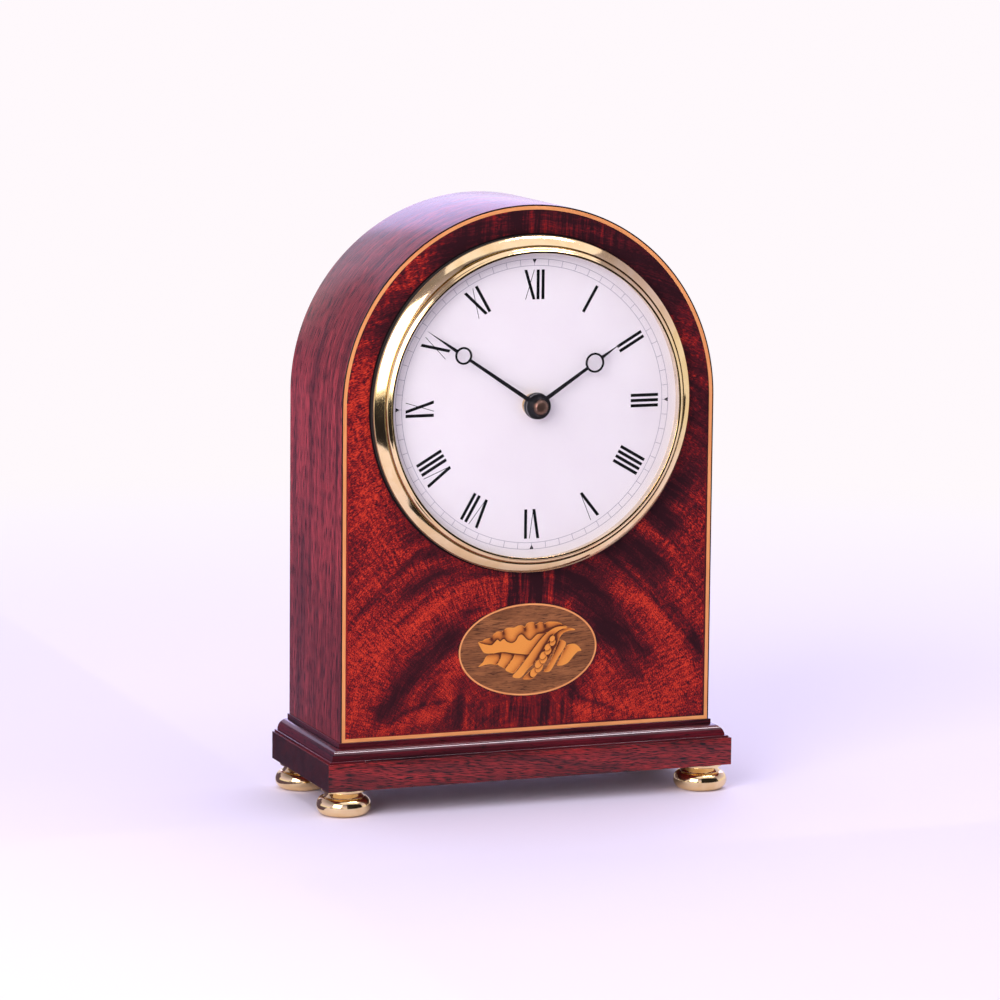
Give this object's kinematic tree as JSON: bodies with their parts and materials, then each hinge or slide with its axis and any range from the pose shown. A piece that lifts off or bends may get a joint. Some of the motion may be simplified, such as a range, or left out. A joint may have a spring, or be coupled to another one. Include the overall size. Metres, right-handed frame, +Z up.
{
  "type": "mantel clock",
  "caption": "Arch-topped mantel clock with an inlaid mahogany case, brass bezel, domed glass, two hands, battery movement, hinged back door and bun feet.",
  "frame": {"origin": "on the ground, under the middle of the clock's box", "axes": "+X to the viewer's right, +Y from the dial to the back, +Z up"},
  "size_m": [0.1752, 0.0866, 0.2397],
  "materials": {
    "mahogany": "french-polished flame mahogany",
    "side_mahogany": "french-polished straight-grained mahogany",
    "dark_mahogany": "french-polished dark mahogany",
    "boxwood": "polished boxwood",
    "walnut_ground": "polished",
    "sycamore_shell": "sand-shaded and polished",
    "softwood": "sawn and sanded",
    "brass": "polished",
    "steel": "plain",
    "black_enamel": "gloss black",
    "copper": "turned and polished",
    "dial_white": "satin white",
    "glass": "clear",
    "black_plastic": "moulded",
    "nylon": "moulded",
    "rubber": "matt",
    "green_board": "lacquered",
    "copper_wire": "enamelled wire",
    "cell_jacket": "plain printed sleeve",
    "magnet": "plain"
  },
  "bodies": {
    "case": {"arch_carcass": "softwood", "arch_veneer": "side_mahogany", "front_board": "softwood", "flame_veneer": "mahogany", "boxwood_stringing": "boxwood", "medallion_ground": "walnut_ground", "shell_inlay": "sycamore_shell", "glue_blocks": "softwood", "bottom_board": "softwood", "back_frame": "dark_mahogany", "base_board": "dark_mahogany", "sub_base": "dark_mahogany", "moulding_front": "dark_mahogany", "moulding_sides": "dark_mahogany", "foot_front_left": "brass", "foot_front_right": "brass", "foot_rear_left": "brass", "foot_rear_right": "brass", "foot_studs": "steel", "base_screws": "brass", "bezel": "brass", "dome_glass": "glass", "glass_ring": "brass", "dial_plate": "dial_white", "dial_ring": "softwood", "bezel_clamps": "steel", "clamp_screws": "steel", "movement_front_case": "black_plastic", "movement_rear_case": "black_plastic", "neck_nut": "brass", "rubber_washer": "rubber", "train_plates": "nylon", "stator": "steel", "coil_bobbin": "nylon", "coil_winding": "copper_wire", "circuit_board": "green_board", "circuit_chips": "black_plastic", "battery_cell": "cell_jacket", "cell_contacts": "steel", "hinge_frame_leaves": "brass", "hinge_pins": "steel", "frame_leaf_screws": "brass", "catch_magnet": "magnet"},
    "minute_hand": {"minute_hand": "black_enamel", "hand_nut": "copper", "centre_arbor": "steel"},
    "hour_hand": {"hour_hand": "black_enamel", "hour_wheel": "nylon"},
    "minute_wheel": {"minute_wheel": "nylon"},
    "set_knob": {"set_knob": "black_plastic"},
    "centre_wheel": {"centre_wheel": "brass"},
    "third_wheel": {"third_wheel": "brass"},
    "seconds_wheel": {"seconds_wheel": "nylon"},
    "intermediate_wheel": {"intermediate_wheel": "nylon"},
    "rotor": {"rotor": "steel"},
    "back_door": {"back_door": "dark_mahogany", "hinge_door_leaves": "brass", "door_leaf_screws": "brass", "door_knob": "brass", "catch_plate": "steel"}
  },
  "joints": [
    {"name": "minute_hand_turn", "type": "hinge", "parent": "case", "child": "minute_hand", "pos_m": [0, -0.0371, 0.1607], "axis": [0, 1, 0], "continuous": true},
    {"name": "hour_hand_turn", "type": "hinge", "parent": "case", "child": "hour_hand", "pos_m": [0, -0.0351, 0.1607], "axis": [0, 1, 0], "continuous": true},
    {"name": "minute_wheel_turn", "type": "hinge", "parent": "case", "child": "minute_wheel", "pos_m": [-0.01181, -0.0261, 0.15859], "axis": [0, 1, 0], "continuous": true},
    {"name": "set_knob_turn", "type": "hinge", "parent": "case", "child": "set_knob", "pos_m": [-0.0139, -0.0111, 0.17041], "axis": [0, 1, 0], "continuous": true},
    {"name": "seconds_wheel_turn", "type": "hinge", "parent": "case", "child": "seconds_wheel", "pos_m": [0.01374, -0.0206, 0.16633], "axis": [0, 1, 0], "continuous": true},
    {"name": "third_wheel_turn", "type": "hinge", "parent": "case", "child": "third_wheel", "pos_m": [0.01056, -0.0221, 0.15845], "axis": [0, 1, 0], "continuous": true},
    {"name": "centre_wheel_turn", "type": "hinge", "parent": "case", "child": "centre_wheel", "pos_m": [0, -0.0236, 0.1607], "axis": [0, 1, 0], "continuous": true},
    {"name": "intermediate_wheel_turn", "type": "hinge", "parent": "case", "child": "intermediate_wheel", "pos_m": [0.00828, -0.0191, 0.17284], "axis": [0, 1, 0], "continuous": true},
    {"name": "rotor_turn", "type": "hinge", "parent": "case", "child": "rotor", "pos_m": [0.00358, -0.0211, 0.17455], "axis": [0, 1, 0], "continuous": true},
    {"name": "back_door_hinge", "type": "hinge", "parent": "case", "child": "back_door", "pos_m": [0.0558, 0.03575, 0.1007], "axis": [0, 0, -1], "range_deg": [0, 110]}
  ],
  "couplings": [
    {"joint": "hour_hand_turn", "follows": "minute_hand_turn", "ratio": 0.083333},
    {"joint": "minute_wheel_turn", "follows": "minute_hand_turn", "ratio": -0.33333},
    {"joint": "set_knob_turn", "follows": "minute_hand_turn", "ratio": 1},
    {"joint": "intermediate_wheel_turn", "follows": "rotor_turn", "ratio": -0.25},
    {"joint": "seconds_wheel_turn", "follows": "rotor_turn", "ratio": 0.033333},
    {"joint": "third_wheel_turn", "follows": "rotor_turn", "ratio": -0.0044444},
    {"joint": "centre_wheel_turn", "follows": "rotor_turn", "ratio": 0.00055556}
  ]
}
